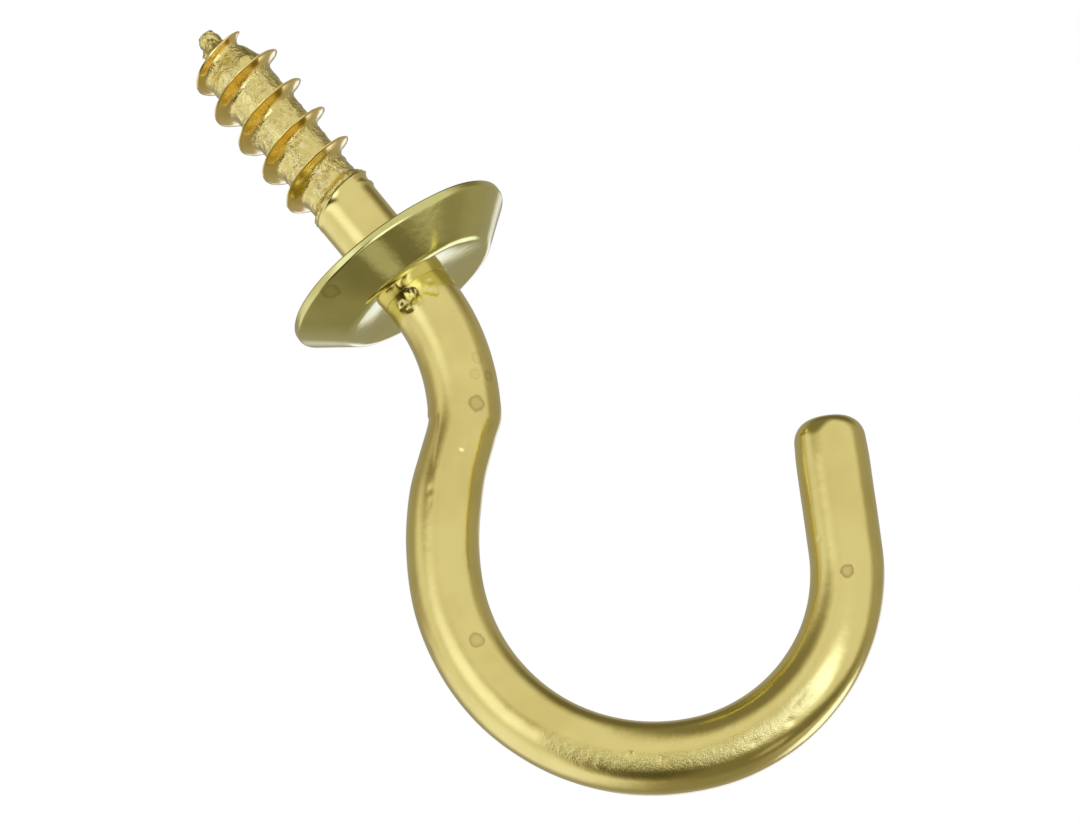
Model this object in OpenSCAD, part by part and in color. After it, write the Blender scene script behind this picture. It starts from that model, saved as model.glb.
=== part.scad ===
// Cup hook: one length of wire with a rolled wood-screw thread at one end and a bent,
// open hook at the other, and a dished collar that is pressed on the shank between them.
// The collar's rim lies in the plane z = 0, the screw points up along +Z, and the hook
// hangs below in the XZ plane with its open side towards +X.

/* [Wire] */
// Diameter of the wire in the hook
wire_d = 3.55; // [2.5:0.05:4.5]
// Radius that rounds the edge of the wire's cut end
end_round = 1.15; // [0.3:0.05:1.2]

/* [Hook bends] */
// Straight wire from the collar down to the first bend
neck_run = 0.15; // [0.1:0.05:4]
// Radius of the easy bend away from the open side
neck_r = 10.4; // [6:0.1:16]
// Angle of that bend
neck_angle = 33; // [15:1:45]
// Radius of the tight bend below it, where the bending tool pinched the wire
crimp_r = 4.7; // [3:0.1:8]
// Angle of that bend
crimp_angle = 21.5; // [10:0.5:35]
// Straight wire between the tight bend and the back of the hook
back_run = 1.1; // [0.2:0.1:4]
// Radius of the hook's back
back_r = 13.8; // [8:0.1:20]
// Angle of the back
back_angle = 25.4; // [10:0.2:45]
// Radius of the bowl, which carries what hangs on the hook
bowl_r = 10.7; // [6:0.1:16]
// Angle of the bowl
bowl_angle = 92.8; // [70:0.2:110]
// Radius of the rise to the tip
rise_r = 8.6; // [6:0.1:14]
// Angle of that rise
rise_angle = 85.6; // [50:0.2:95]
// Straight wire from the rise to the cut end
tip_run = 6.6; // [2:0.1:12]

/* [Screw] */
// Diameter of the plain shank under the thread
shank_d = 3.38; // [2.4:0.02:4.2]
// Height of the screw's point above the wall plane
screw_len = 15.4; // [11:0.1:24]
// Height above the wall plane at which the plain shank ends
shank_len = 4.4; // [3:0.1:6]
// Diameter over the thread
thread_d = 4.36; // [3.8:0.02:5.4]
// Diameter at the thread's root
root_d = 2.96; // [2:0.02:3.4]
// Rise of the thread in one turn
pitch = 1.96; // [1.2:0.02:2.4]
// Turning of the thread about the screw, which sets where each crest faces
thread_phase = 309; // [0:1:359]
// Height of the pointed stretch
point_len = 2.6; // [1.5:0.1:4]
// Diameter of the blunt tip
tip_d = 0.9; // [0.4:0.1:1.4]

/* [Collar] */
// Diameter over the collar's rim
collar_d = 12.2; // [9:0.1:18]
// Diameter of the flat face towards the hook
collar_flat_d = 8; // [6:0.1:8.4]
// Height of the collar from its rim to that face
collar_h = 2.05; // [1.6:0.05:2.2]
// Height of the upright lip at the rim
collar_lip = 0.4; // [0.2:0.05:0.6]
// Thickness of the sheet
collar_t = 0.45; // [0.3:0.01:0.6]
// Radius outside the collar's two bends
collar_bend = 0.7; // [0.65:0.05:1.5]
// Gap all round between the shank and the collar's hole
collar_clearance = 0.03; // [0.02:0.01:0.06]

/* [Hidden] */
$fn = 96;

wire_colour = [0.82, 0.73, 0.45];
collar_colour = [0.66, 0.64, 0.36];

// The wire's bends in order from the collar: [radius, angle], where a positive angle turns
// away from the hook's open side, or [0, length] for a straight stretch.
hook_path = [
    [neck_r, neck_angle], [crimp_r, crimp_angle], [0, back_run],
    [back_r, -back_angle], [bowl_r, -bowl_angle], [rise_r, -rise_angle]
];

// The wire's shoulder under the collar is wide enough to carry the edge of the collar's hole
hole_d = shank_d + 2 * collar_clearance;
seat_w = 0.05;
shoulder_d = max(wire_d, hole_d + 2 * seat_w);

// Gap left at each joint of the wire, and the plug that closes it
joint_gap = 0.05;
plug_len = 0.3;
plug_grow = 0.02;

// Steps along a rounded edge, and round one turn of the thread
edge_steps = 6;
turn_steps = 24;

// Thread profile across one pitch: how far up the pitch each point lies, and its share of
// the thread's height. The flank towards the collar is hollow at its foot.
profile_rise = [0, 0.08, 0.165, 0.205, 0.33, 0.66];
profile_height = [0, 0.24, 1, 1, 0, 0];
profile_points = len(profile_rise);

// The threaded blank starts inside the plain shank, a hair under its size
blank_r = shank_d / 2 - 0.03;
blank_foot = shank_len - 1.4;
blank_overlap = 0.2;
// Slope from the shank down to the thread's root
shoulder_run = 0.5;
// The thread rises out of the shank over this much of its end, and is full this far above it
fade_below = 0.9;
fade_above = 1.3;
// The point narrows to this share of the root at this share of its length, and faster from there
point_foot = screw_len - point_len;
knee_rise = 0.55;
knee_share = 0.74;
// How fast the crest closes in along the point, and what is left of it near the tip
crest_taper = 0.3;
spur_share = 0.35;
spur_below = 0.5;
spur_end = 0.1;
// Turns of the strip beyond each end of the blank; points past an end are moved onto it,
// with those nearer to it than end_snap
spare_turns = 1.5;
end_snap = 0.06;

function heading(v) = atan2(v[1], v[0]);
function unit(v) = v / norm(v);
function shortest(turn) = turn - 360 * round(turn / 360);

// Arc of radius r in place of the corner at b, between a and c
function rounded(a, b, c, r) =
    let (to_a = unit(a - b), to_c = unit(c - b), half = acos(to_a * to_c) / 2,
         centre = b + unit(to_a + to_c) * r / sin(half),
         start = heading(b + to_a * r / tan(half) - centre),
         turn = shortest(heading(b + to_c * r / tan(half) - centre) - start))
    [for (i = [0 : edge_steps]) let (angle = start + turn * i / edge_steps)
        centre + r * [cos(angle), sin(angle)]];

// Radius of the screw's core at height z: plain shank, thread root, then the point
function core_r(z) = lookup(z, [
    [shank_len, blank_r], [shank_len + shoulder_run, root_d / 2],
    [point_foot, root_d / 2], [point_foot + point_len * knee_rise, root_d / 2 * knee_share],
    [screw_len, tip_d / 2]
]);

// Share of the thread's full height that stands at height z
function thread_share(z) = lookup(z, [
    [shank_len - fade_below, 0], [shank_len + fade_above, 1],
    [point_foot, 1], [screw_len - spur_below, spur_share], [screw_len - spur_end, 0]
]);

// Radius over the crest at height z
function crest_r(z) = core_r(z)
    + (thread_d / 2 - core_r(z) - max(0, z - point_foot) * crest_taper) * thread_share(z);

// Height z, moved onto the blank if it lies past either end
function on_blank(z) =
    z < blank_foot + end_snap ? blank_foot : z > screw_len - end_snap ? screw_len : z;

// Point number k of the thread's profile, after i steps round the screw
function thread_point(i, k) =
    let (turn = 360 * i / turn_steps + thread_phase,
         z = on_blank(blank_foot + pitch * (i / turn_steps + profile_rise[k] - spare_turns)),
         r = core_r(z) + (crest_r(z) - core_r(z)) * profile_height[k])
    [r * cos(turn), r * sin(turn), z];

// One length of wire along a path of bends, starting at the origin along +Y. Each stretch
// stops short of its ends, and a plug a hair thicker than the wire laps over both.
module wire(path, i = 0) {
    rotate([-90, 0, 0]) cylinder(h = plug_len, d = wire_d + plug_grow, center = true);
    if (i < len(path)) {
        r = path[i][0];
        turn = path[i][1];
        if (r == 0) {
            translate([0, joint_gap, 0]) rotate([-90, 0, 0])
                cylinder(h = turn - 2 * joint_gap, d = wire_d);
            translate([0, turn, 0]) wire(path, i + 1) children();
        } else {
            side = turn < 0 ? 1 : -1;
            gap_turn = joint_gap / r * 180 / PI;
            translate([side * r, 0, 0]) {
                rotate([0, 0, (turn < 0 ? 180 + turn : 0) + gap_turn])
                    rotate_extrude(angle = abs(turn) - 2 * gap_turn)
                        translate([r, 0]) circle(d = wire_d);
                rotate([0, 0, turn]) translate([-side * r, 0, 0])
                    wire(path, i + 1) children();
            }
        }
    } else {
        translate([0, joint_gap, 0]) children();
    }
}

// The last straight stretch, with its cut end tumbled round
module wire_tip() {
    end_edge = rounded([wire_d / 2, 0], [wire_d / 2, tip_run], [0, tip_run], end_round);
    rotate([-90, 0, 0]) rotate_extrude()
        polygon(concat([[0, 0], [wire_d / 2, 0]], end_edge, [[0, tip_run]]));
}

// Threaded end of the blank: a helical strip of thread profiles, closed at foot and tip
module screw_thread() {
    turns = (screw_len - blank_foot) / pitch + 2 * spare_turns;
    last = ceil(turns * turn_steps);
    points = [for (i = [0 : last], k = [0 : profile_points - 1]) thread_point(i, k)];
    function at(i, k) = k < profile_points
        ? i * profile_points + k : (i + turn_steps) * profile_points;
    function apart(f) = norm(points[f[0]] - points[f[1]]) > 0.001
        && norm(points[f[1]] - points[f[2]]) > 0.001
        && norm(points[f[2]] - points[f[0]]) > 0.001;
    skin = [
        for (i = [0 : last - turn_steps - 1], k = [0 : profile_points - 1])
        for (f = [[at(i, k), at(i, k + 1), at(i + 1, k + 1)],
                  [at(i, k), at(i + 1, k + 1), at(i + 1, k)]])
        if (apart(f)) f
    ];
    foot = [for (i = [0 : turn_steps - 1]) at(i, 0)];
    tip = [for (i = [0 : turn_steps - 1]) at(last - i, 0)];
    polyhedron(points, concat(skin, [foot, tip]));
}

module hook_wire() {
    color(wire_colour) {
        translate([0, 0, -collar_h])
            cylinder(h = collar_h + blank_foot + blank_overlap, d = shank_d);
        screw_thread();
        translate([0, 0, -collar_h - neck_run]) {
            translate([0, 0, joint_gap]) cylinder(h = neck_run - joint_gap, d = shoulder_d);
            rotate([-90, 0, 0]) wire(hook_path) wire_tip();
        }
    }
}

module collar() {
    hole_r = hole_d / 2;
    rim_r = collar_d / 2;
    flat_r = collar_flat_d / 2;
    // Outer corners from the hole to the rim, and the same corners one sheet inside
    lean = atan2(collar_h - collar_lip, rim_r - flat_r);
    flat_corner = [flat_r, -collar_h];
    lip_corner = [rim_r, -collar_lip];
    inner_flat = flat_corner + collar_t * [-tan(lean / 2), 1];
    inner_lip = lip_corner + collar_t * [-1, tan((90 - lean) / 2)];
    edge = collar_t / 4;
    color(collar_colour) rotate_extrude() polygon(concat(
        [[hole_r, -collar_h]],
        rounded([hole_r, -collar_h], flat_corner, lip_corner, collar_bend),
        rounded(flat_corner, lip_corner, [rim_r, 0], collar_lip / 2),
        rounded(lip_corner, [rim_r, 0], [0, 0], edge),
        [[rim_r - collar_t, 0]],
        [inner_lip],
        rounded(inner_lip, inner_flat, [hole_r, -collar_h + collar_t], collar_bend - collar_t),
        [[hole_r, -collar_h + collar_t]]
    ));
}

hook_wire();
collar();
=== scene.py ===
# %% [markdown]
# # A brass cup hook
# A cup hook is one length of wire. One end is rolled into a wood-screw thread, the other is
# bent into an open hook, and a small dished collar of thin sheet is pressed on the shank
# between them. The collar stops against the shelf when the hook has been screwed in.
#
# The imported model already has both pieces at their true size. Here they are built again as
# finer meshes, with the marks that making and tumbling leave, and then finished and lit.

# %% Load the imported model
from math import cos, pi, radians, sin, tan

import bmesh
import bpy
import numpy as np
from mathutils import Matrix, Vector, noise


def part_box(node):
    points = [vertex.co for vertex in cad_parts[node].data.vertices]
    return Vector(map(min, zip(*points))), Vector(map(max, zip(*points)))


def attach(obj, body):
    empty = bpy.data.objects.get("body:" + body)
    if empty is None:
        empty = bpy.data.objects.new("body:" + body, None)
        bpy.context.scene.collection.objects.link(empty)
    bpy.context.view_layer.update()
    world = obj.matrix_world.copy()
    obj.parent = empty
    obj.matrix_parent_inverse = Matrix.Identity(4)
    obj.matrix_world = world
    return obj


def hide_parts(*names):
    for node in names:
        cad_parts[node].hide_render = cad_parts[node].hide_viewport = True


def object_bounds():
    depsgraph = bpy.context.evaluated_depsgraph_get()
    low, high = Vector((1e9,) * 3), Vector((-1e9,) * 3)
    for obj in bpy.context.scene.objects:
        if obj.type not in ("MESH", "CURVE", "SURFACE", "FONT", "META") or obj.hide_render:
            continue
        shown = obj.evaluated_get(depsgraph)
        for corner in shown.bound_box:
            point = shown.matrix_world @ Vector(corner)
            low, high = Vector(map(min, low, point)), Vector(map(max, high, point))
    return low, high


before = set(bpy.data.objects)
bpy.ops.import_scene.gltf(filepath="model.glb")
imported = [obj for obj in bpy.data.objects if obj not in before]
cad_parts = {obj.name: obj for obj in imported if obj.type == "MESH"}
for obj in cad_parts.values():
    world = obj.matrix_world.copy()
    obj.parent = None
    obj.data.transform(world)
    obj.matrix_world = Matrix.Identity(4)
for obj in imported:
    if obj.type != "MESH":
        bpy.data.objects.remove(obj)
cad_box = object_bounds()
print("nodes:", sorted(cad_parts))

# %% [markdown]
# ## Sizes
# Blender works in metres, but a hook is easier to think about in millimetres, so every size
# below is in millimetres and each mesh is scaled once, when it is made. The sizes that the
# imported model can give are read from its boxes, and the bends repeat the drawing's values.

# %% Read the main sizes from the model
MM = 0.001
wire_low, wire_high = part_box("hook_wire")
collar_low, collar_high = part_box("collar")
SCREW_LEN = wire_high.z / MM
THREAD_R = wire_high.y / MM
COLLAR_R = collar_high.x / MM
COLLAR_H = -collar_low.z / MM
print(f"screw {SCREW_LEN:.2f} mm, thread radius {THREAD_R:.2f} mm, collar radius {COLLAR_R:.2f} mm")

# %% [markdown]
# ## The camera
# The hook is seen from its side and a little from below, and it leans in the picture. A long
# lens from far away keeps the wire's two ends at nearly the same scale. The camera's three
# axes are worked out from its elevation and its roll, so each can be changed by itself.

# %% Place the camera
ELEVATION = -17.5
ROLL = 39.5
DISTANCE = 400
LENS = 274.9
AIM_RIGHT = 1.62
AIM_UP = -1.62


def camera_axes(elevation, roll):
    """The picture's right and up, and the way back to the camera."""
    slope = radians(elevation)
    level_right = Vector((1, 0, 0))
    back = Vector((0, -cos(slope), sin(slope)))
    level_up = back.cross(level_right)
    turn = radians(roll)
    right = level_right * cos(turn) - level_up * sin(turn)
    up = level_right * sin(turn) + level_up * cos(turn)
    return right, up, back


view_right, view_up, view_back = camera_axes(ELEVATION, ROLL)
middle = (cad_box[0] + cad_box[1]) / 2
aim = middle + (view_right * AIM_RIGHT + view_up * AIM_UP) * MM
camera_data = bpy.data.cameras.new("camera")
camera_data.lens = LENS
camera = bpy.data.objects.new("camera", camera_data)
bpy.context.scene.collection.objects.link(camera)
camera_turn = Matrix((view_right, view_up, view_back)).transposed()
camera.matrix_world = Matrix.Translation(aim + view_back * DISTANCE * MM) @ camera_turn.to_4x4()
bpy.context.scene.camera = camera
print("camera at", [round(x, 3) for x in camera.matrix_world.translation])

# %% [markdown]
# ## Helpers for nodes
# A material or a light set-up is a net of nodes. A few small helpers keep the rest readable:
# one adds a node with its settings and inputs, four more do the sums that are used most, and
# the last makes a node group with named sockets. An input that is given as a number is set,
# and one that is given as a socket is linked.

# %% Node helpers
WHITE = (1, 1, 1, 1)


def add_node(tree, kind, inputs=(), **settings):
    """A new node with its settings made and its inputs set or linked."""
    node = tree.nodes.new(kind)
    for name, value in settings.items():
        setattr(node, name, value)
    for name, value in dict(inputs).items():
        if isinstance(value, bpy.types.NodeSocket):
            tree.links.new(value, node.inputs[name])
        else:
            node.inputs[name].default_value = value
    return node


def math_node(tree, operation, first, second=0.0, clamp=False):
    """The result of one sum on numbers."""
    settings = {"operation": operation, "use_clamp": clamp}
    return add_node(tree, "ShaderNodeMath", {0: first, 1: second}, **settings).outputs[0]


def times(tree, first, second):
    """The product of two numbers."""
    return math_node(tree, "MULTIPLY", first, second)


def plus(tree, first, second):
    """The sum of two numbers."""
    return math_node(tree, "ADD", first, second)


def smooth_range(tree, value, low, high, to_low=0.0, to_high=1.0):
    """A soft step from to_low to to_high as value goes from low to high."""
    inputs = {"Value": value, "From Min": low, "From Max": high, "To Min": to_low, "To Max": to_high}
    node = add_node(tree, "ShaderNodeMapRange", inputs, interpolation_type="SMOOTHSTEP")
    return node.outputs["Result"]


def mix_colour(tree, share, first, second):
    """Two colours mixed by a share. The node keeps its colour sockets at places 6, 7 and 2."""
    node = add_node(tree, "ShaderNodeMix", {0: share, 6: first, 7: second}, data_type="RGBA")
    return node.outputs[2]


def new_group(name, inputs, outputs):
    """A shader node group with named sockets: its tree, its inputs and its output node."""
    tree = bpy.data.node_groups.new(name, "ShaderNodeTree")
    for socket, kind, value in inputs:
        made = tree.interface.new_socket(socket, in_out="INPUT", socket_type=kind)
        made.default_value = value
    for socket, kind in outputs:
        tree.interface.new_socket(socket, in_out="OUTPUT", socket_type=kind)
    return tree, tree.nodes.new("NodeGroupInput").outputs, tree.nodes.new("NodeGroupOutput").inputs


NUMBER = "NodeSocketFloat"
VECTOR = "NodeSocketVector"
COLOUR = "NodeSocketColor"

# %% [markdown]
# ## Light
# Bright metal shows its surroundings more than its own colour. The hook stands in a pale
# tent, with darker and brighter patches round it: the black of a lens and its stand in
# front, the gap behind, folds of the cloth, and the places where it is lit. Each is an ellipse
# with a soft edge on the world's sphere. A tent could be built from lamps and boards instead,
# but patches on the world have no edge that could show, and are quick to render.
#
# Dark things round the tent are brown and the lit cloth is a cool white, so the darker a patch
# is, the warmer its colour. The picture's background is plain white, so rays that come
# straight from the camera see white, and only reflections see the tent.

# %% Patches of the tent, each seen from the hook
# Direction to the patch's middle along the picture's right, up and back, its half width and
# half height in degrees, its turn in degrees, its soft edge, and its brightness
TENT = 0.8
BRIGHTEST = 1.55
PATCHES = [
    # The gap behind the hook, darker than the tent, and a strip of bright cloth inside it
    ((0, 0, -1), (84, 84), 0, 0.25, 0.38),
    ((0.22, -0.27, -0.94), (18, 9), -45, 0.4, 1.1),
    # Folds overhead, on the right and underneath, and a paler one at the lower left
    ((-0.55, 0.82, -0.05), (44, 25), -30, 0.4, 0.22),
    ((0.98, 0.08, -0.12), (14, 36), 0, 0.7, 0.40),
    ((0.10, 0.80, -0.60), (34, 18), 0, 0.5, 0.16),
    ((0.12, -0.98, -0.08), (36, 24), 0, 0.4, 0.31),
    ((-0.70, -0.68, -0.20), (28, 30), 0, 0.5, 0.95),
    # The lens and its stand, in front and below, and a small pale spot on the stand
    ((0.55, -0.76, 0.34), (46, 14), 28, 0.5, 0.18),
    ((0.10, -0.87, 0.48), (38, 20), 0, 0.5, 0.22),
    ((-0.37, -0.62, 0.69), (17, 24), 0, 0.5, 0.08),
    ((-0.38, -0.22, 0.90), (11, 27), 0, 0.5, 0.04),
    ((0.46, -0.80, 0.38), (7, 6), 0, 0.5, 0.5),
    # Lit cloth beside them
    ((-0.74, -0.06, 0.67), (15, 22), 0, 0.6, 1.15),
    ((0.30, -0.14, 0.94), (29, 15), -28, 0.4, BRIGHTEST),
    ((0.64, -0.56, -0.53), (14, 14), 0, 0.3, 1.35),
]
# Green and blue light for each part of red, where the tent is darkest and where it is brightest
GREEN_SHARE = (0.86, 1.10)
BLUE_SHARE = (0.45, 1.55)
# Added to a cosine, so that the direction opposite a patch is never divided by zero
JUST_OVER_ONE = 1.0001


def towards(right, up, back):
    """The direction with these parts along the picture's right, up and back."""
    return (view_right * right + view_up * up + view_back * back).normalized()


def patch_mask(tree, direction, middle_of_patch, size, turn, edge):
    """Share of a soft-edged ellipse that lies in a direction."""
    outward = towards(*middle_of_patch)
    upright = (view_up - outward * view_up.dot(outward)).normalized()
    level = upright.cross(outward)
    lean = radians(turn)
    across = level * cos(lean) + upright * sin(lean)
    along = upright * cos(lean) - level * sin(lean)
    reach = []
    for axis in (across / tan(radians(size[0]) / 2), along / tan(radians(size[1]) / 2), outward):
        node = add_node(tree, "ShaderNodeVectorMath", {0: direction, 1: axis}, operation="DOT_PRODUCT")
        reach.append(node.outputs["Value"])
    squares = [times(tree, value, value) for value in reach[:2]]
    spread = math_node(tree, "SQRT", plus(tree, *squares))
    spread = math_node(tree, "DIVIDE", spread, plus(tree, reach[2], JUST_OVER_ONE))
    return smooth_range(tree, spread, 1 - edge, 1 + edge, 1.0, 0.0)


world = bpy.data.worlds.new("tent")
bpy.context.scene.world = world
world.use_nodes = True
sky = world.node_tree
sky.nodes.clear()
direction = add_node(sky, "ShaderNodeTexCoord").outputs["Generated"]
level = TENT
for middle_of_patch, size, turn, edge, brightness in PATCHES:
    mask = patch_mask(sky, direction, middle_of_patch, size, turn, edge)
    mixed = add_node(sky, "ShaderNodeMix", {0: mask, 2: level, 3: brightness}, data_type="FLOAT")
    level = mixed.outputs[0]
warmth = [1.0]
for darkest, brightest in (GREEN_SHARE, BLUE_SHARE):
    inputs = {"Value": level, "From Max": BRIGHTEST, "To Min": darkest, "To Max": brightest}
    warmth.append(add_node(sky, "ShaderNodeMapRange", inputs).outputs["Result"])
channels = {k: times(sky, level, share) for k, share in enumerate(warmth)}
tent_colour = add_node(sky, "ShaderNodeCombineColor", channels).outputs[0]
straight = add_node(sky, "ShaderNodeLightPath").outputs["Is Camera Ray"]
seen = mix_colour(sky, straight, tent_colour, WHITE)
background = add_node(sky, "ShaderNodeBackground", {"Color": seen})
add_node(sky, "ShaderNodeOutputWorld", {"Surface": background.outputs[0]})
bpy.context.scene.view_settings.view_transform = "Standard"
print("tent with", len(PATCHES), "patches")

# %% [markdown]
# One soft lamp stands high above the hook, a little towards the camera. The metal shows the
# tent and nothing else, so the lamp's own reflection is left out: it lights the floor.

# %% Soft lamp
LAMP_SIZE = 260
LAMP_AWAY = 600
LAMP_POWER = 0.09
LAMP_WAY = (0.1, 0.9, 0.42)
lamp_data = bpy.data.lights.new("soft_lamp", "AREA")
lamp_data.shape = "DISK"
lamp_data.size = LAMP_SIZE * MM
lamp_data.energy = LAMP_POWER
lamp = bpy.data.objects.new("soft_lamp", lamp_data)
bpy.context.scene.collection.objects.link(lamp)
lamp.visible_glossy = False
lamp_way = towards(*LAMP_WAY)
lamp_turn = lamp_way.to_track_quat("Z", "Y").to_matrix().to_4x4()
lamp.matrix_world = Matrix.Translation(aim + lamp_way * LAMP_AWAY * MM) @ lamp_turn
print("lamp", LAMP_AWAY, "mm away")

# %% [markdown]
# ## Floor
# The hook hangs from a shelf, so the plain floor lies well below it. Its reflection is left
# out: the tent's own lower half is what the metal shows.

# %% Floor
FLOOR_DROP = 170
FLOOR_HALF = 2500
PALE_PAINT = (0.93, 0.93, 0.92, 1)


def mesh_object(name, points, faces, smooth=True):
    """A mesh object from points in millimetres."""
    mesh = bpy.data.meshes.new(name)
    mesh.from_pydata((np.asarray(points, float) * MM).tolist(), [], faces)
    mesh.polygons.foreach_set("use_smooth", [smooth] * len(mesh.polygons))
    made = bpy.data.objects.new(name, mesh)
    bpy.context.scene.collection.objects.link(made)
    return made


floor_z = wire_low.z / MM - FLOOR_DROP
square = ((-1, -1), (1, -1), (1, 1), (-1, 1))
corners = [(x * FLOOR_HALF, y * FLOOR_HALF, floor_z) for x, y in square]
floor = mesh_object("floor", corners, [(0, 1, 2, 3)], smooth=False)
floor.visible_glossy = False
paint = bpy.data.materials.new("pale_paint")
paint.use_nodes = True
paint_shader = paint.node_tree.nodes["Principled BSDF"]
paint_shader.inputs["Base Color"].default_value = PALE_PAINT
paint_shader.inputs["Roughness"].default_value = 0.9
floor.data.materials.append(paint)
print(f"floor at {floor_z:.0f} mm")

# %% [markdown]
# ## The wire's route
# Below the collar the wire is a chain of bends and straights, as a bending tool makes them.
# The route is worked out in small steps: each step turns the heading a little and moves on.
# A smoothing pass over the heading takes the edge off each change of bend, because metal
# never goes from one radius to the next at a single point.

# %% Follow the bends
WIRE_R = 1.775
SHANK_R = 1.69
FOOT_Z = 3.0
BELOW_COLLAR = 0.15
NECK = FOOT_Z + COLLAR_H + BELOW_COLLAR
# Radius and angle of each bend, where a positive angle turns away from the hook's open side,
# or 0 and the length of a straight
BENDS = [
    (0, NECK), (10.4, 33), (4.7, 21.5), (0, 1.1),
    (13.8, -25.4), (10.7, -92.8), (8.6, -85.6), (0, 6.6),
]
STEP = 0.02
BLEND = 0.35


def follow(bends):
    """Distance from the screw's foot, heading, and place of the wire's middle line."""
    lengths, turns = [], []
    for radius, amount in bends:
        run = radius * radians(abs(amount)) if radius else amount
        count = round(run / STEP)
        lengths += [run / count] * count
        turns += [radians(amount) / count if radius else 0.0] * count
    lengths, turns = np.array(lengths), np.array(turns)
    heading = np.cumsum(turns) - turns / 2
    half = round(BLEND / STEP)
    padded = np.concatenate([[heading[0]] * half, heading, [heading[-1]] * half])
    heading = np.convolve(padded, np.ones(2 * half + 1) / (2 * half + 1), "valid")
    along = np.concatenate([[0], np.cumsum(lengths)])
    x = np.concatenate([[0], np.cumsum(-np.sin(heading) * lengths)])
    z = FOOT_Z + np.concatenate([[0], np.cumsum(-np.cos(heading) * lengths)])
    return along, np.append(heading, heading[-1]), x, z


route = follow(BENDS)
WIRE_LEN = route[0][-1]
lowest = route[3].min() - WIRE_R
print(f"wire {WIRE_LEN:.1f} mm long from the screw's foot, lowest point {lowest:.2f} mm")

# %% [markdown]
# ## Places on the wire
# Every mark on the wire has a place: how far it lies below the shelf, measured along the
# wire, and how far round. The angle is 0 on the outer side of the bends, 90 at the front and
# 180 on the inner side.

# %% Places and marks
def on_wire(below, angle, radius):
    """Point at a distance below the shelf along the wire, at an angle round it."""
    along, heading, x, z = route
    spot = np.asarray(below, float) + FOOT_Z
    turn = np.interp(spot, along, heading)
    out = np.cos(angle) * radius
    front = np.sin(angle) * radius
    return np.stack([
        np.interp(spot, along, x) - np.cos(turn) * out,
        -front + 0 * turn,
        np.interp(spot, along, z) + np.sin(turn) * out,
    ], -1)


def soft_step(value, low, high):
    """0 below low, 1 above high, and smooth between."""
    share = np.clip((value - low) / (high - low), 0, 1)
    return share * share * (3 - 2 * share)


def span(value, low, high, edge):
    """1 between low and high, with soft edges inside."""
    return soft_step(value, low, low + edge) * (1 - soft_step(value, high - edge, high))


def dent(below, angle, mark):
    """Depth of one round dent: its place, its half length and width, and its depth."""
    place, degrees, half_along, half_round, depth = mark
    along = (below - place) / half_along
    around = (angle - radians(degrees)) * WIRE_R / half_round
    return depth * np.exp(-along ** 2 - around ** 2)


def ripple(points, size, seed=0.0):
    """Smooth noise from -1 to 1 at points in millimetres, with bumps about size apart."""
    shift = Vector((seed * 7.3, seed * 3.1, seed * 5.7))
    flat = points.reshape(-1, 3) / size
    values = [noise.noise(Vector(p) + shift) for p in flat]
    return np.array(values).reshape(points.shape[:-1])


# %% [markdown]
# ## The shape of the wire
# Drawn wire is nearly round. What makes it look real is where it isn't: the shoulder inside
# the collar's hole and the punch marks below it, the crease and the hollow where the bending
# tool pinched the wire, and a rash of small dents in the bowl from tumbling with other hooks.

# %% Marks on the wire
# Place below the shelf, angle, half length, half width and depth of each dent
PUNCH_MARKS = [
    (2.5, 58, 0.16, 0.20, 0.15), (2.7, 72, 0.10, 0.12, 0.08), (2.45, 84, 0.20, 0.24, 0.20),
    (2.9, 66, 0.12, 0.14, 0.08), (2.6, 102, 0.12, 0.16, 0.10), (2.9, 112, 0.12, 0.20, 0.08),
    (2.4, 118, 0.10, 0.14, 0.10), (2.6, 265, 0.20, 0.26, 0.14), (2.7, 290, 0.14, 0.20, 0.08),
]
KNOCKS = [
    (10.83, 111, 0.07, 0.07, 0.05), (11.75, 126, 0.07, 0.07, 0.05), (12.95, 76, 0.25, 0.14, 0.03),
    (13.5, 80, 0.3, 0.1, 0.02), (20.05, 25, 0.25, 0.2, 0.03), (23.4, 104, 0.2, 0.12, 0.02),
    (31.1, 84, 0.18, 0.14, 0.05), (32.6, 77, 0.2, 0.14, 0.05), (36.8, 64, 0.25, 0.12, 0.04),
    (38.6, 59, 0.2, 0.16, 0.05), (39.5, 73, 0.3, 0.14, 0.04), (45.1, 140, 0.3, 0.16, 0.02),
    (47.8, 124, 0.12, 0.1, 0.03), (34.2, 250, 0.4, 0.3, 0.03), (29.0, 300, 0.3, 0.3, 0.03),
]
# Place below the shelf and angle of each end of the crease
CREASE_START = (9.0, 58)
CREASE_END = (12.6, 81)
CREASE_DEPTH = 0.035
HOLLOW_DEPTH = 0.035
PINCH_DEPTH = 0.12
PINCH_RIDGE = 0.03
END_NARROWING = 0.07
# Place below the shelf where each kind of mark starts and ends, and its soft edge
PUNCHED = (2.15, 3.2, 0.3)
RUBBED = (26.2, 41.0, 1.2)
HARD_RUBBED = (26.4, 31.4, 1.2)
print("dents:", len(PUNCH_MARKS), "from the punch and", len(KNOCKS), "from tumbling")

# %% [markdown]
# Each kind of mark gets its own small function, which gives what it takes off the radius. The
# noise that makes marks ragged is looked up at the points of a perfectly round wire, so it
# depends on the place alone, and every run gives the same wire.

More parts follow.
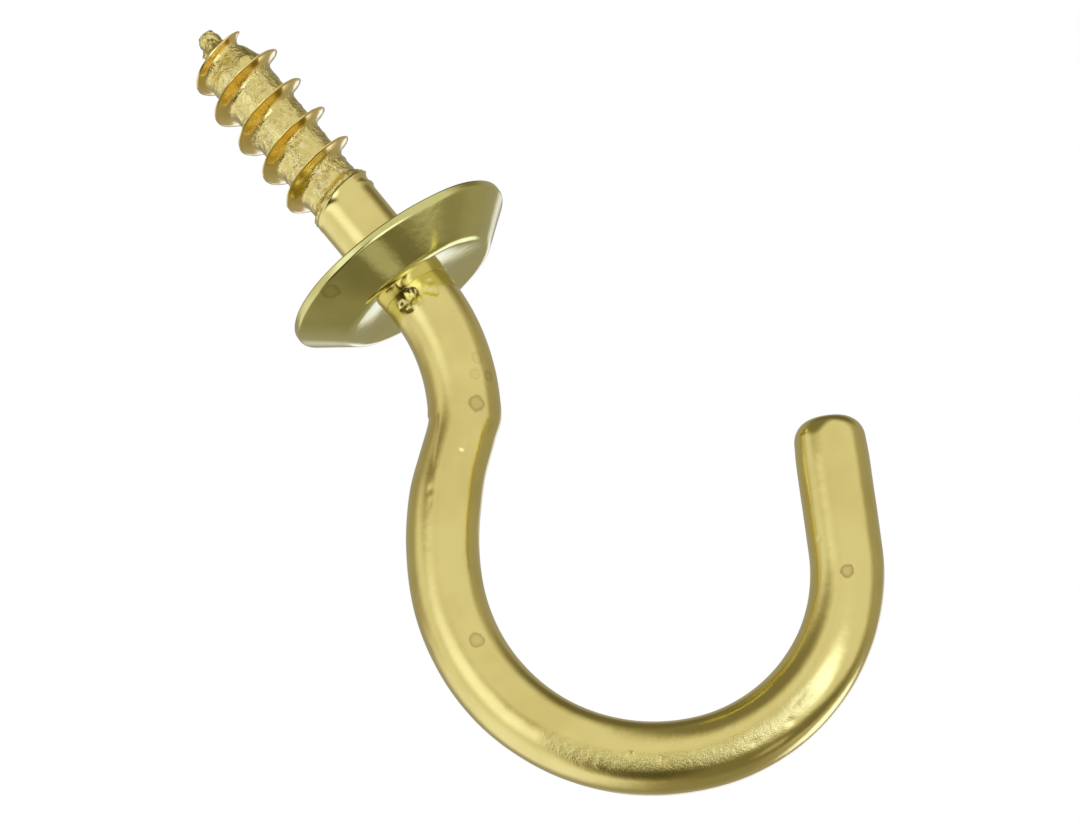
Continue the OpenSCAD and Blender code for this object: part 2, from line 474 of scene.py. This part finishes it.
# %% Radius of the wire
def bending_marks(below, angle):
    """What the bending tool took off: a crease with a hollow beside it, and an inner pinch."""
    turned = np.minimum(angle, 2 * pi - angle)
    places, degrees = zip(CREASE_START, CREASE_END)
    crease = np.interp(below, places, np.radians(degrees))
    past_crease = (crease - turned) * WIRE_R
    step = CREASE_DEPTH * soft_step(past_crease, -0.05, 0.12)
    hollow = HOLLOW_DEPTH * soft_step(past_crease, 0.1, 1.2)
    fade = soft_step(below, 8.85, 9.15) * (1 - soft_step(below, 11.2, 12.9))
    inner = soft_step(turned, 1.9, 2.9)
    pinch = PINCH_DEPTH * inner * soft_step(below, 8.9, 9.7) * (1 - soft_step(below, 10.4, 13.8))
    return (step + hollow) * fade + pinch - PINCH_RIDGE * inner * span(below, 8.0, 9.4, 0.7)


def punch_marks(below, angle, points):
    """What the collar's punch took off, just below the collar on the front and the back."""
    punched = span(below, *PUNCHED) * span(angle, 0.85, 2.2, 0.3)
    ragged = 0.13 * ripple(points, 0.25, 10)
    marks = [dent(below + ragged, angle + ragged / WIRE_R, mark) for mark in PUNCH_MARKS]
    return sum(marks) - 0.05 * punched * ripple(points, 0.2, 9)


def rubbed_marks(below, angle, points):
    """The scuffs along the front of the bowl, coarse and fine, deeper where they start."""
    rubbed = span(below, *RUBBED) * span(angle, radians(52), radians(92), 0.25)
    hard_rub = span(below, *HARD_RUBBED)
    coarse = (0.011 + 0.006 * hard_rub) * ripple(points, 0.28, 1)
    fine = (0.006 + 0.005 * hard_rub) * ripple(points, 0.13, 2)
    return rubbed * (coarse + fine)


def wire_radius(below, angle, points):
    """Radius of the wire at places below the shelf and angles round it."""
    end = WIRE_LEN - FOOT_Z
    shoulder = soft_step(below, COLLAR_H - 0.5, COLLAR_H - 0.35)
    radius = SHANK_R + (WIRE_R - SHANK_R) * shoulder
    radius = radius - bending_marks(below, angle) - punch_marks(below, angle, points)
    radius = radius - sum(dent(below, angle, mark) for mark in KNOCKS)
    radius = radius + rubbed_marks(below, angle, points)
    radius = radius - END_NARROWING * soft_step(below, end - 2.4, end - 0.4)
    uneven = 0.010 * ripple(points, 2.2, 3) + 0.0025 * ripple(points, 0.7, 4)
    return radius + uneven * soft_step(below, -FOOT_Z, -FOOT_Z + 0.8)


# %% [markdown]
# ## Rings along the wire
# The wire is a tube of rings, each square to the route. The cut end was tumbled round, so the
# last rings follow a rounded edge, and the very end is left almost flat. The whole wire with
# its screw is going to be one closed skin, so the first ring lies on the screw's lowest ring,
# and the unevenness fades out there.

# %% Rings of the wire
SIDES = 120
RING_GAP = 0.1
THINNEST = 0.02
END_ROUND = 1.05
ROUND_RINGS = 16
END_DOME = 0.1
END_RINGS = 6


def ring_plan():
    """Distance below the shelf, and what is taken off the radius, for every ring."""
    last = WIRE_LEN - FOOT_Z
    straight_run = last - END_ROUND + FOOT_Z
    count = round(straight_run / RING_GAP)
    plan = [(-FOOT_Z + straight_run * k / count, 0.0) for k in range(count)]
    for k in range(ROUND_RINGS):
        turn = pi / 2 * k / ROUND_RINGS
        plan.append((last - END_ROUND + END_ROUND * sin(turn), END_ROUND * (1 - cos(turn))))
    flat = WIRE_R - END_ROUND
    for k in range(END_RINGS):
        share = k / END_RINGS
        plan.append((last + END_DOME * (1 - (1 - share) ** 2), END_ROUND + flat * share))
    return np.array(plan)


def grid_faces(rows, columns, first=0):
    """Quads of a tube of rings, each ring with the same number of points."""
    faces = []
    for row in range(rows - 1):
        near = first + row * columns
        far = near + columns
        for k in range(columns):
            after = (k + 1) % columns
            faces.append((near + k, near + after, far + after, far + k))
    return faces


plan = ring_plan()
below = np.repeat(plan[:, :1], SIDES, 1)
angle = np.repeat(np.arange(SIDES)[None] * 2 * pi / SIDES, len(plan), 0)
route_end = WIRE_LEN - FOOT_Z
past_end = np.maximum(below - route_end, 0)
round_points = on_wire(below, angle, WIRE_R)
wire_r = np.maximum(wire_radius(below, angle, round_points) - plan[:, 1:], THINNEST)
wire_points = on_wire(below, angle, wire_r)
end_heading = route[1][-1]
wire_points += past_end[..., None] * np.array([-sin(end_heading), 0, -cos(end_heading)])
print("wire:", len(plan), "rings of", SIDES, "points")

# %% [markdown]
# ## The screw
# A rolled wood-screw thread is a thin sharp ridge that winds round a rough core. Rings at
# fixed heights would cut the ridge into steps, so the skin is a strip: one profile across a
# whole turn of rise, repeated while it turns and climbs. Where one profile ends, the profile
# one turn later starts, which closes the strip on itself. The thread's first turn starts at a
# whole number of sides round the wire, so that the two skins share their points.

# %% Profile of the thread
PITCH = 1.96
THREAD_PHASE = 339
ROOT_R = 1.48
SHANK_LEN = 4.4
POINT_LEN = 2.6
TIP_R = 0.42
TIP_DOME = 0.1
SPARE_TURNS = 1.5
POINT_FOOT = SCREW_LEN - POINT_LEN
POINT_PLACES = np.array([0, 0.3, 0.55, 0.72, 1])
POINT_RADII = np.array([ROOT_R, 1.2, 0.78, 0.55, TIP_R])
# Shares of the pitch where the sharp crest starts and ends, and where the ridge's back ends
FLANK = 0.262
CREST = 0.272
RIDGE = 0.36
CREST_EDGE = 0.004
# How far the crest reaches past the model's thread, and how fast it narrows on the point
CREST_REACH = 0.09
CREST_TAPER = 0.14
# How much higher one side of the plain shank's end lies than the middle
SHANK_SLANT = 0.35


def profile_shares():
    """How far up the pitch each profile point lies, close together on the ridge."""
    hollow = FLANK * np.arange(8) / 8
    crest = np.array([FLANK, FLANK + CREST_EDGE, CREST - CREST_EDGE, CREST])
    back = CREST + (RIDGE - CREST) * np.arange(1, 6) / 5
    root = RIDGE + (1 - RIDGE) * np.arange(1, 13) / 13
    return np.concatenate([hollow, crest, back, root])


def ridge_height(share):
    """Height of the ridge at a share of the pitch: hollow on the collar's side, sharp on top."""
    hollow = np.clip(share / FLANK, 0, 1) ** 2.1
    back = np.clip((RIDGE - share) / (RIDGE - CREST), 0, 1) ** 1.15
    return np.minimum(hollow, back)


def shank_end(turn):
    """Height where the plain shank ends, which slants across the wire."""
    return SHANK_LEN + SHANK_SLANT * np.cos(turn)


def core_radius(z, turn):
    """Radius under the ridge: the plain shank, the root, and then the blunt point."""
    low = shank_end(turn)
    root = SHANK_R + (ROOT_R - SHANK_R) * soft_step(z, low - 0.05, low + 0.3)
    narrow = np.interp(z, POINT_FOOT + POINT_LEN * POINT_PLACES, POINT_RADII)
    return np.minimum(root, np.where(z > POINT_FOOT, narrow, SHANK_R))


def thread_share(z):
    """Share of the ridge's full height that stands at a height."""
    start = [SHANK_LEN - 0.9, SHANK_LEN + 0.3, SHANK_LEN + 1.1]
    end = [POINT_FOOT, SCREW_LEN - 0.5, SCREW_LEN - 0.1]
    return np.interp(z, start + end, [0, 0.28, 1, 1, 0.4, 0])


shares = profile_shares()
print("thread profile:", len(shares), "points over a rise of", PITCH, "mm")

# %% [markdown]
# The root is where the rolling dies dragged over the blank: it is pitted and scaly, while the
# ridge itself is squeezed smooth. The pits are real dents in the mesh, so they keep their
# glitter from every side. Where the plain shank ends the metal is torn, and the crest has a
# few nicks, a spur near the point and a short run-out at its foot.

# %% Roughness of the screw
PIT_DEPTH = 0.06
TORN_DEPTH = 0.09
POINT_DEPTH = 0.05
NICK_DEPTH = 0.05
# Height, half height, how far it stands out, the side it is on, and how narrow it is
SPUR = (14.6, 0.16, 0.22, pi, 8)
RUN_OUT = (3.95, 0.12, 0.10, 0, 3)


def roughness_of(spots, z, turn, height):
    """What pits, tears and nicks add to the radius, and how pitted and how torn the metal is."""
    low = shank_end(turn)
    pitted = soft_step(z, low - 0.1, low + 0.2) * (1 - soft_step(height, 0.02, 0.4))
    torn = np.exp(-((z - low - 0.05) / 0.16) ** 2)
    point = soft_step(z, POINT_FOOT + 1.2, SCREW_LEN - 0.4)
    coarse = ripple(spots * np.array([1, 1, 1.3]), 0.36, 5)
    fine = ripple(spots, 0.17, 6)
    patchy = np.clip(0.55 + 1.3 * ripple(spots, 1.1, 12), 0.3, 1)
    pits = PIT_DEPTH * pitted * patchy * (coarse + fine * 0.8 - 0.3)
    pits = pits + TORN_DEPTH * torn * (fine + 0.3 * coarse + 0.2)
    pits = pits + POINT_DEPTH * point * (coarse + fine)
    crest = soft_step(height, 0.7, 1.0) * thread_share(z)
    nicks = NICK_DEPTH * crest * np.minimum(ripple(spots, 0.5, 7) - 0.1, 0)
    return pits + nicks, pitted * patchy, torn


def bulge(z, turn, shape):
    """One small swelling that stands out from the screw."""
    middle, half_height, amount, side, narrow = shape
    around = np.clip(np.cos(turn - side), 0, 1) ** narrow
    return amount * np.exp(-((z - middle) / half_height) ** 2) * around


print("depth scale of the pits", PIT_DEPTH, "mm, of the torn edge", TORN_DEPTH, "mm")

# %% Skin of the screw
def strip_faces(z, last):
    """Quads between each profile and the next, without the rows that lie flat on an end."""
    columns = len(shares)
    faces = []
    for i in range(last - SIDES):
        if z[i, 0] >= SCREW_LEN or z[i + 1 + SIDES, 0] <= FOOT_Z:
            continue
        for k in range(columns):
            near = i * columns + k
            over = near + 1 if k + 1 < columns else (i + SIDES) * columns
            faces.append((near, near + columns, over + columns, over))
    return faces


def screw_skin():
    """Points of the strip, how pitted and how rolled each is, and the quads between them."""
    turns = (SCREW_LEN - FOOT_Z) / PITCH + 2 * SPARE_TURNS
    last = int(np.ceil(turns * SIDES))
    steps = np.arange(last + 1)[:, None]
    turn = 2 * pi * steps / SIDES + radians(THREAD_PHASE) + 0 * shares
    z = np.clip(FOOT_Z + PITCH * (steps / SIDES + shares - SPARE_TURNS), FOOT_Z, SCREW_LEN)
    height = ridge_height(shares) + 0 * turn
    core = core_radius(z, turn)
    taper = np.maximum(0, z - POINT_FOOT) * CREST_TAPER
    crest = core + (THREAD_R + CREST_REACH - core - taper) * thread_share(z)
    radius = core + (crest - core) * height
    spots = np.stack([radius * np.cos(turn), radius * np.sin(turn), z], -1)
    dents, pitted, torn = roughness_of(spots, z, turn, height)
    inside = soft_step(z, FOOT_Z, FOOT_Z + 0.2)
    inside = inside * (1 - soft_step(z, SCREW_LEN - 0.1, SCREW_LEN))
    radius = radius + dents * inside
    radius = radius + bulge(z, turn, SPUR) + bulge(z, turn, RUN_OUT)
    points = np.stack([radius * np.cos(turn), radius * np.sin(turn), z], -1)
    pitted = np.maximum(pitted, torn)
    ridge = soft_step(height, 0.04, 0.25) * soft_step(thread_share(z), 0.1, 0.4)
    return points.reshape(-1, 3), pitted.reshape(-1), ridge.reshape(-1), strip_faces(z, last)


screw_points, screw_pitted, screw_ridge, screw_faces = screw_skin()
print("screw:", len(screw_faces), "quads before the ends are welded")

# %% [markdown]
# ## One closed skin
# The wire, the screw and the two end caps are joined and welded where their points meet. The
# spare turns of the strip lie flat on the ends, so the weld folds them away. Three numbers
# are kept with each point for the finish: how pitted the metal is, how scuffed, and how far
# up the rolled ridge it lies.

# %% Weld the hook wire
TIP_RINGS = 5
TIP_MIDDLE = 0.02
WELD = 0.0015
SLIVER_SHARE = 0.2


def tip_cap():
    """Rings that close the screw's blunt point."""
    steps = np.arange(SIDES) * 2 * pi / SIDES + radians(THREAD_PHASE)
    rings = []
    for k in range(TIP_RINGS):
        share = k / TIP_RINGS
        radius = np.full(SIDES, TIP_R * (1 - share))
        z = np.full(SIDES, SCREW_LEN + TIP_DOME * sin(share * pi / 2))
        rings.append(np.stack([radius * np.cos(steps), radius * np.sin(steps), z], -1))
    return np.array(rings)


def closing_fan(count, first, centre):
    """Triangles from a ring to its middle point."""
    return [(first + k, first + (k + 1) % count, centre) for k in range(count)]


tip = tip_cap()
end_middle = wire_points[-1].mean(0)
tip_middle = tip[-1].mean(0) + np.array([0, 0, TIP_MIDDLE])
screw_start = len(wire_points) * SIDES
tip_start = screw_start + len(screw_points)
middles = tip_start + len(tip) * SIDES
skins = [wire_points.reshape(-1, 3), screw_points, tip.reshape(-1, 3)]
all_points = np.concatenate(skins + [[end_middle, tip_middle]])
faces = grid_faces(len(wire_points), SIDES)
faces += [tuple(v + screw_start for v in face) for face in screw_faces]
faces += grid_faces(len(tip), SIDES, tip_start)
faces += closing_fan(SIDES, screw_start - SIDES, middles)
faces += closing_fan(SIDES, middles - SIDES, middles + 1)
rubbed = span(below, *RUBBED) * span(angle, radians(48), radians(96), 0.3)
punched = 0.8 * span(below, 2.2, 3.2, 0.3) * span(angle, 0.9, 2.3, 0.3)
pitted, scuffed, rolled = np.zeros((3, len(all_points)))
pitted[screw_start:tip_start] = screw_pitted
pitted[tip_start:middles] = 1
pitted[middles + 1] = 1
scuffed[:screw_start] = np.maximum(rubbed, punched).reshape(-1)
rolled[screw_start:tip_start] = screw_ridge
hook = mesh_object("hook_wire_finished", all_points, faces)


def add_number(made, name, values):
    """A number kept with every point of a mesh."""
    kept = made.data.attributes.new(name, "FLOAT", "POINT")
    kept.data.foreach_set("value", values.astype(np.float32))


add_number(hook, "pitted", pitted)
add_number(hook, "scuffed", scuffed)
add_number(hook, "rolled", rolled)


def weld(made, distance):
    """Merges points that meet, clears flat slivers and turns all faces outward."""
    shell = bmesh.new()
    shell.from_mesh(made.data)
    bmesh.ops.remove_doubles(shell, verts=shell.verts, dist=distance * MM)
    bmesh.ops.dissolve_degenerate(shell, edges=shell.edges, dist=distance * MM * SLIVER_SHARE)
    loose = [v for v in shell.verts if not v.link_faces]
    bmesh.ops.delete(shell, geom=loose, context="VERTS")
    bmesh.ops.recalc_face_normals(shell, faces=shell.faces)
    open_edges = sum(1 for e in shell.edges if len(e.link_faces) != 2)
    for face in shell.faces:
        face.smooth = True
    shell.to_mesh(made.data)
    triangles = sum(len(f.verts) - 2 for f in shell.faces)
    shell.free()
    print(made.name, triangles, "triangles,", open_edges, "open edges")


weld(hook, WELD)
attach(hook, "root")
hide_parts("hook_wire")

# %% [markdown]
# ## The collar
# The collar is a disc of thin sheet, pressed into a shallow dish with a flat face, a cone and
# a short upright lip. It was punched and pressed in one stroke, so it is a turned profile
# with rounded bends. The hole is smaller than the wire below it, and it is modelled so that
# its edge is sunk in the wire, because the sheet was pressed tight against the shank.

# %% Profile of the collar
SHEET = 0.45
FLAT_R = 4.1
LIP = 0.4
BEND_R = 0.8
DISHED = 0.16
HOLE_R = SHANK_R + 0.03
EDGE_R = 0.11
ARC_POINTS = 9
COLLAR_STEPS = 220


def unit(vector):
    """The same direction with a length of 1."""
    return vector / np.linalg.norm(vector)


def rounded(before, corner, after, radius):
    """Points of an arc in place of a corner."""
    to_before, to_after = unit(before - corner), unit(after - corner)
    half = np.arccos(np.clip(to_before @ to_after, -1, 1)) / 2
    centre = corner + unit(to_before + to_after) * radius / np.sin(half)
    start = corner + to_before * radius / np.tan(half) - centre
    end = corner + to_after * radius / np.tan(half) - centre
    share = np.linspace(0, 1, ARC_POINTS)[:, None]
    fan = start * (1 - share) + end * share
    return centre + fan / np.linalg.norm(fan, axis=1)[:, None] * radius


def collar_profile():
    """Closed outline of the sheet's section: radius and height, from the hole outward."""
    hole = np.array([HOLE_R, -COLLAR_H])
    flat = np.array([FLAT_R, -COLLAR_H])
    lip = np.array([COLLAR_R, -LIP])
    rim = np.array([COLLAR_R, 0.0])
    rim_in = np.array([COLLAR_R - SHEET, 0.0])
    lean = np.arctan2(COLLAR_H - LIP, COLLAR_R - FLAT_R)
    flat_in = flat + SHEET * np.array([-np.tan(lean / 2), 1])
    lip_in = lip + SHEET * np.array([-1, np.tan((pi / 2 - lean) / 2)])
    hole_in = np.array([HOLE_R, -COLLAR_H + SHEET])
    outline = [
        rounded(hole_in, hole, flat, EDGE_R), rounded(hole, flat, lip, BEND_R),
        rounded(flat, lip, rim, LIP / 2), rounded(lip, rim, rim_in, EDGE_R),
        rounded(rim, rim_in, lip_in, EDGE_R / 2), lip_in[None],
        rounded(lip_in, flat_in, hole_in, BEND_R - SHEET), rounded(flat_in, hole_in, hole, EDGE_R),
    ]
    return np.concatenate(outline)


def filled(outline, gap):
    """The same closed outline with points no more than about gap apart."""
    points = []
    for here, after in zip(outline, np.roll(outline, -1, axis=0)):
        count = max(1, int(np.ceil(np.linalg.norm(after - here) / gap)))
        points += [here + (after - here) * k / count for k in range(count)]
    return np.array(points)


section = filled(collar_profile(), 0.2)
print("collar section:", len(section), "points")

# %% [markdown]
# Pressing left the flat face a little hollow, highest round the hole, and faintly wavy, which
# makes its reflections wander. Like most such collars, this one also sits a little crooked.

# %% Press the collar
TILT = -2.4
NOD = 1.2
SHIFT = 0.12
WAVE = 0.045
COLLAR_WELD = 0.0005

turns = (np.arange(COLLAR_STEPS) * 2 * pi / COLLAR_STEPS)[:, None]
ring_r = section[:, 0] + 0 * turns
ring_z = section[:, 1] + 0 * turns
away = soft_step(ring_r, HOLE_R, FLAT_R)
collar_points = np.stack([ring_r * np.cos(turns), ring_r * np.sin(turns), ring_z], -1)
waviness = WAVE * away * ripple(collar_points * np.array([1, 1, 0.3]), 2.6, 8)
collar_points[..., 2] += waviness + DISHED * (1 - away)
collar_points[..., 0] += SHIFT * away
seat = Vector((0, 0, -COLLAR_H))
crooked = Matrix.Rotation(radians(-TILT), 4, "Y") @ Matrix.Rotation(radians(NOD), 4, "X")
lean = Matrix.Translation(seat) @ crooked @ Matrix.Translation(-seat)
collar_points = np.array([lean @ Vector(p) for p in collar_points.reshape(-1, 3)])
columns = len(section)
collar_faces = []
for i in range(COLLAR_STEPS):
    near = i * columns
    far = (i + 1) % COLLAR_STEPS * columns
    for k in range(columns):
        over = (k + 1) % columns
        collar_faces.append((near + k, far + k, far + over, near + over))
collar = mesh_object("collar_finished", collar_points, collar_faces)
weld(collar, COLLAR_WELD)
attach(collar, "root")
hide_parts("collar")

# %% [markdown]
# ## Brass
# Both pieces are brass under a clear lacquer. Metal with a lacquer coat is one Principled
# shader: the metal is its base, and the coat adds the thin white shine on top. What varies
# over the surface comes from small node groups that both pieces share. The first mixes two
# tones of the metal in wide clouds.

# %% Millimetre coordinates and tone
def millimetres(tree):
    """The surface's own coordinates, in millimetres."""
    place = add_node(tree, "ShaderNodeTexCoord").outputs["Object"]
    scaled = add_node(tree, "ShaderNodeVectorMath", {0: place, "Scale": 1 / MM}, operation="SCALE")
    return scaled.outputs["Vector"]


def noise_value(tree, place, scale, detail=2.0, roughness=0.5):
    """Noise from 0 to 1 with a number of bumps for each millimetre."""
    inputs = {"Vector": place, "Scale": scale, "Detail": detail, "Roughness": roughness}
    return add_node(tree, "ShaderNodeTexNoise", inputs).outputs["Fac"]


PLACE_INPUT = ("Place", VECTOR, (0, 0, 0))
tone_inputs = [PLACE_INPUT, ("Bright", COLOUR, WHITE), ("Deep", COLOUR, (0, 0, 0, 1))]
tone_group, given, result = new_group("brass_tone", tone_inputs, [("Color", COLOUR)])
wide = noise_value(tone_group, given["Place"], 0.35, 3.0)
cloud = smooth_range(tone_group, wide, 0.35, 0.7)
mixed = mix_colour(tone_group, cloud, given["Bright"], given["Deep"])
tone_group.links.new(mixed, result["Color"])
print("group:", tone_group.name)

# %% [markdown]
# Lacquer dries with small blisters and rings. Each is a spot on the surface: a faint disc with
# a darker rim. The group gives the mask of one spot, and a material places as many as it needs.

# %% Lacquer spot
SPOT_WOBBLE = 0.5
spot_inputs = [PLACE_INPUT, ("Middle", VECTOR, (0, 0, 0)), ("Radius", NUMBER, 0.3)]
spot_group, given, result = new_group("lacquer_spot", spot_inputs, [("Mask", NUMBER)])
wobble = noise_value(spot_group, given["Place"], 3.5, 1.0)
two_places = {0: given["Place"], 1: given["Middle"]}
apart = add_node(spot_group, "ShaderNodeVectorMath", two_places, operation="DISTANCE")
reach = math_node(spot_group, "DIVIDE", apart.outputs["Value"], given["Radius"])
reach = plus(spot_group, reach, times(spot_group, wobble, SPOT_WOBBLE))
disc = smooth_range(spot_group, reach, 1.1, 1.35, 1.0, 0.0)
pale_middle = smooth_range(spot_group, reach, 0.6, 1.15, 0.55, 0.0)
rim = math_node(spot_group, "SUBTRACT", disc, pale_middle, clamp=True)
spot_group.links.new(rim, result["Mask"])
print("group:", spot_group.name)

# %% [markdown]
# Some roughness is too fine for the mesh. Four heights make it: a soft orange peel in the
# lacquer, a fine grain, pits in the thread's root, and scuffs. One group adds them up, in
# millimetres, and also gives how dull the worn metal is.

# %% Surface heights
PEEL_HEIGHT = 0.007
GRAIN_HEIGHT = 0.0008
PIT_HEIGHT = 0.04
SCUFF_HEIGHT = 0.03
SCUFF_DULLNESS = 0.4

height_inputs = [PLACE_INPUT, ("Pitted", NUMBER, 0.0), ("Scuffed", NUMBER, 0.0)]
height_outputs = [("Height", NUMBER), ("Dull", NUMBER)]
height_group, given, result = new_group("worked_skin", height_inputs, height_outputs)
orange_peel = noise_value(height_group, given["Place"], 2.2, 2.0)
grain = noise_value(height_group, given["Place"], 16.0, 3.0)
cell_inputs = {"Vector": given["Place"], "Scale": 7.0}
cells = add_node(height_group, "ShaderNodeTexVoronoi", cell_inputs).outputs["Distance"]
scale_marks = noise_value(height_group, given["Place"], 9.0, 4.0, 0.65)
peel = times(height_group, orange_peel, PEEL_HEIGHT)
fine = times(height_group, grain, GRAIN_HEIGHT)
pit = times(height_group, plus(height_group, cells, scale_marks), PIT_HEIGHT)
pit = times(height_group, pit, given["Pitted"])
rub = times(height_group, times(height_group, scale_marks, SCUFF_HEIGHT), given["Scuffed"])
smooth_part = plus(height_group, peel, fine)
height_group.links.new(plus(height_group, smooth_part, plus(height_group, pit, rub)), result["Height"])
worn = times(height_group, given["Scuffed"], SCUFF_DULLNESS)
worn = math_node(height_group, "MAXIMUM", given["Pitted"], worn)
dull = times(height_group, worn, smooth_range(height_group, scale_marks, 0.3, 0.7))
height_group.links.new(dull, result["Dull"])
print("group:", height_group.name)

# %% [markdown]
# The material puts the groups together. Over the two tones come the richer colour of the
# rolled ridge, painted shade and painted glints speckled over the pits, and the lacquer spots.
# The shader itself stays in the material, and so does the bump node that turns the heights into
# normals.

# %% The brass itself
RIDGE_COLOUR = (1.0, 0.76, 0.24, 1)
RIDGE_STRENGTH = 0.85
# Colour of the painted glints speckled over the pits
PAINTED_GLINT = (1.0, 0.88, 0.5, 1)
DULL_ROUGHNESS = 0.04
COAT = 0.7
COAT_ROUGHNESS = 0.08


def use_group(tree, group, inputs):
    """One use of a node group in a material."""
    return add_node(tree, "ShaderNodeGroup", inputs, node_tree=group).outputs


def kept_number(tree, name):
    """One of the numbers that are kept with the mesh's points."""
    return add_node(tree, "ShaderNodeAttribute", attribute_name=name).outputs["Fac"]


def brass_colour(tree, place, pits, tones, spots):
    """The colour of the brass: its bright, deep and stained tones, painted shade and painted glints in
    its pits, and its lacquer spots.
    """
    # The stain colour also paints the shade in the pits
    bright, deep, stain_and_pit_shade = tones
    colour = use_group(tree, tone_group, {"Place": place, "Bright": bright, "Deep": deep})["Color"]
    ridge = times(tree, kept_number(tree, "rolled"), RIDGE_STRENGTH)
    colour = mix_colour(tree, ridge, colour, RIDGE_COLOUR)
    # A noise that speckles the pits with painted shade and painted glints
    glint_and_shade_speckle = noise_value(tree, place, 4.5, 3.0)
    # Darker speckles in the pits are painted shade, in the stain colour
    painted_pit_shade = times(tree, pits, smooth_range(tree, glint_and_shade_speckle, 0.52, 0.68, 0.0, 0.7))
    # Brighter speckles in the pits are painted glints
    painted_glints = times(tree, pits, smooth_range(tree, glint_and_shade_speckle, 0.36, 0.46, 1.0, 0.0))
    colour = mix_colour(tree, painted_pit_shade, colour, stain_and_pit_shade)
    colour = mix_colour(tree, painted_glints, colour, PAINTED_GLINT)
    for middle_of_spot, radius, strength in spots:
        inputs = {"Place": place, "Middle": middle_of_spot, "Radius": radius}
        mask = use_group(tree, spot_group, inputs)["Mask"]
        colour = mix_colour(tree, times(tree, mask, strength), colour, stain_and_pit_shade)
    return colour


def brass(name, tones, roughness, spots):
    """Lacquered brass: its tones, how rough the metal is, and a list of lacquer spots."""
    material = bpy.data.materials.new(name)
    material.use_nodes = True
    tree = material.node_tree
    shader = tree.nodes["Principled BSDF"]
    place = millimetres(tree)
    pits = kept_number(tree, "pitted")
    inputs = {"Place": place, "Pitted": pits, "Scuffed": kept_number(tree, "scuffed")}
    skin = use_group(tree, height_group, inputs)
    bump = add_node(tree, "ShaderNodeBump", {"Height": skin["Height"], "Distance": MM})
    uneven = noise_value(tree, place, 1.1, 3.0)
    rough = smooth_range(tree, uneven, 0.3, 0.7, roughness * 0.85, roughness * 1.2)
    rough = plus(tree, rough, times(tree, skin["Dull"], DULL_ROUGHNESS))
    colour = brass_colour(tree, place, pits, tones, spots)
    tree.links.new(colour, shader.inputs["Base Color"])
    tree.links.new(rough, shader.inputs["Roughness"])
    tree.links.new(bump.outputs["Normal"], shader.inputs["Normal"])
    shader.inputs["Metallic"].default_value = 1.0
    shader.inputs["Coat Weight"].default_value = COAT
    shader.inputs["Coat Roughness"].default_value = COAT_ROUGHNESS
    print("material:", name, "with", len(spots), "spots")
    return material


# %% [markdown]
# The sheet is a different brass from the wire: greener, darker and smoother. A spot on the
# wire is given by its place below the shelf and its angle, as the marks are.

# %% Finish both pieces
# Bright tone, deep tone, and the colour of stains, which also paints the shade in the pits
WIRE_TONES = [(0.85, 0.73, 0.24, 1), (0.78, 0.65, 0.20, 1), (0.44, 0.32, 0.08, 1)]
SHEET_TONES = [(0.72, 0.69, 0.24, 1), (0.65, 0.62, 0.19, 1), (0.36, 0.28, 0.08, 1)]
WIRE_ROUGHNESS = 0.16
SHEET_ROUGHNESS = 0.09
# Place below the shelf, angle, radius and strength of each spot
WIRE_SPOTS = [
    (8.55, 122, 0.42, 0.75), (20.95, 113, 0.40, 0.65), (46.0, 81, 0.34, 0.8),
    (7.25, 124, 0.3, 0.25), (7.3, 150, 0.3, 0.4), (6.5, 135, 0.35, 0.25),
    (15.5, 250, 0.4, 0.5), (34.0, 280, 0.4, 0.5), (43.0, 240, 0.3, 0.5),
]
# Point, radius and strength of each spot
SHEET_SPOTS = [((-3.16, -4.74, -0.71), 0.5, 0.5), ((2.0, 5.2, -0.9), 0.4, 0.4)]


def wire_spot(below_shelf, degrees, radius, strength):
    """A lacquer spot at a place on the wire."""
    return tuple(on_wire(below_shelf, radians(degrees), WIRE_R)), radius, strength


wire_spots = [wire_spot(*spot) for spot in WIRE_SPOTS]
wire_brass = brass("lacquered_wire_brass", WIRE_TONES, WIRE_ROUGHNESS, wire_spots)
sheet_brass = brass("lacquered_sheet_brass", SHEET_TONES, SHEET_ROUGHNESS, SHEET_SPOTS)
hook.data.materials.append(wire_brass)
collar.data.materials.append(sheet_brass)

# %% [markdown]
# ## The imported box
# The imported model's box is printed last, in millimetres.

# %% Print the imported model's box
print("cad box", [[round(x / MM, 2) for x in p] for p in cad_box])
